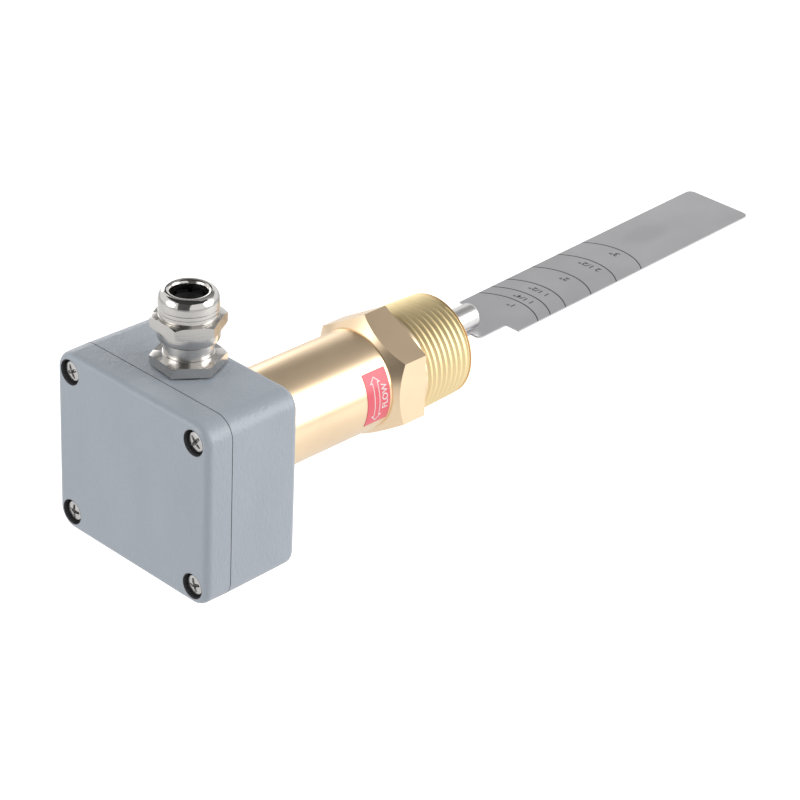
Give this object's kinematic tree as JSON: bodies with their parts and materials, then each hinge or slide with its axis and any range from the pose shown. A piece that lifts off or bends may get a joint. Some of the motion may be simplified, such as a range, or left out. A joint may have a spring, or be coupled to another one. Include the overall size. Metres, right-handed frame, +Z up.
{
  "type": "paddle flow switch",
  "caption": "Paddle flow switch: brass pipe-threaded stem with a long steel paddle, and a small cast case with a cable gland that holds the snap switch.",
  "frame": {"origin": "on the stem's axis, in the face of the hexagon that meets the pipe fitting", "axes": "+Y along the stem from the case to the blade's tip, +Z up through the cable gland, +X to the right when facing the lid"},
  "size_m": [0.064, 0.2606, 0.0815],
  "materials": {
    "case_paint": "silver-grey hammered enamel on die-cast aluminium",
    "black_rubber": "matt black elastomer",
    "screw_steel": "zinc-plated steel, satin",
    "brass": "turned, bright",
    "label_red": "printed vinyl",
    "stainless": "ground stainless bar",
    "blade_steel": "satin stainless sheet",
    "bronze": "drawn phosphor bronze",
    "zinc_steel": "zinc-plated pressed steel",
    "switch_plastic": "moulded, dark",
    "plunger_plastic": "moulded, red",
    "tag_brass": "tinned brass",
    "spring_steel": "oiled spring wire",
    "block_plastic": "moulded, pale grey",
    "lead_plastic": "extruded insulation",
    "nickel": "nickel-plated brass, turned",
    "seal_rubber": "soft black elastomer",
    "cage_plastic": "moulded black nylon"
  },
  "bodies": {
    "housing": {"enclosure_body": "case_paint", "stem_body": "brass", "stem_seal_ring": "black_rubber", "stem_lock_nut": "brass", "flow_label": "label_red", "pivot_pin": "stainless", "pivot_spacers": "stainless", "switch_bracket": "zinc_steel", "microswitch_body": "switch_plastic", "microswitch_screws": "screw_steel", "microswitch_tags": "tag_brass", "range_spring": "spring_steel", "terminal_block": "block_plastic", "terminal_clamps": "tag_brass", "clamp_screws": "screw_steel", "terminal_block_screws": "screw_steel", "earth_washer": "zinc_steel", "earth_screw": "screw_steel", "lead_wires": "lead_plastic", "gland_washer": "black_rubber", "gland_body": "nickel", "gland_locknut": "nickel", "gland_seal": "seal_rubber"},
    "lid": {"enclosure_lid": "case_paint", "lid_gasket": "black_rubber", "lid_screws": "screw_steel"},
    "paddle": {"paddle_lever": "stainless", "paddle_blade": "blade_steel", "blade_rivets": "stainless", "seal_bellows": "bronze", "bellows_collar": "bronze"},
    "plunger": {"microswitch_plunger": "plunger_plastic"},
    "set_point": {"adjusting_screw": "brass"},
    "gland_clamp": {"gland_clamp_cage": "cage_plastic"},
    "gland_nut": {"gland_dome_nut": "nickel"}
  },
  "joints": [
    {"name": "paddle_swing", "type": "hinge", "parent": "housing", "child": "paddle", "pos_m": [0, -0.071, 0], "axis": [1, 0, 0], "range_deg": [-6.2, 1.8], "stiffness_Nm_per_rad": 6, "springref_deg": 0.43, "deforming": ["range_spring"]},
    {"name": "plunger_travel", "type": "slide", "parent": "housing", "child": "plunger", "axis": [0, 0, 1], "range_m": [-0.0005, 0.0015]},
    {"name": "set_point_turn", "type": "hinge", "parent": "housing", "child": "set_point", "pos_m": [0, -0.08, -0.014], "axis": [0, 0, 1], "range_deg": [-180, 180]},
    {"name": "clamp_travel", "type": "slide", "parent": "housing", "child": "gland_clamp", "axis": [0, 0, 1], "range_m": [0, 0.0015]},
    {"name": "gland_nut_turn", "type": "hinge", "parent": "gland_clamp", "child": "gland_nut", "pos_m": [0, -0.0787, 0.046], "axis": [0, 0, 1], "range_deg": [0, 360]},
    {"name": "lid_lift", "type": "slide", "parent": "housing", "child": "lid", "axis": [0, -1, 0], "range_m": [0, 0.03]}
  ],
  "couplings": [
    {"joint": "plunger_travel", "follows": "paddle_swing", "m_per_rad": -0.013},
    {"joint": "gland_nut_turn", "follows": "clamp_travel", "rad_per_m": 4188.8}
  ]
}
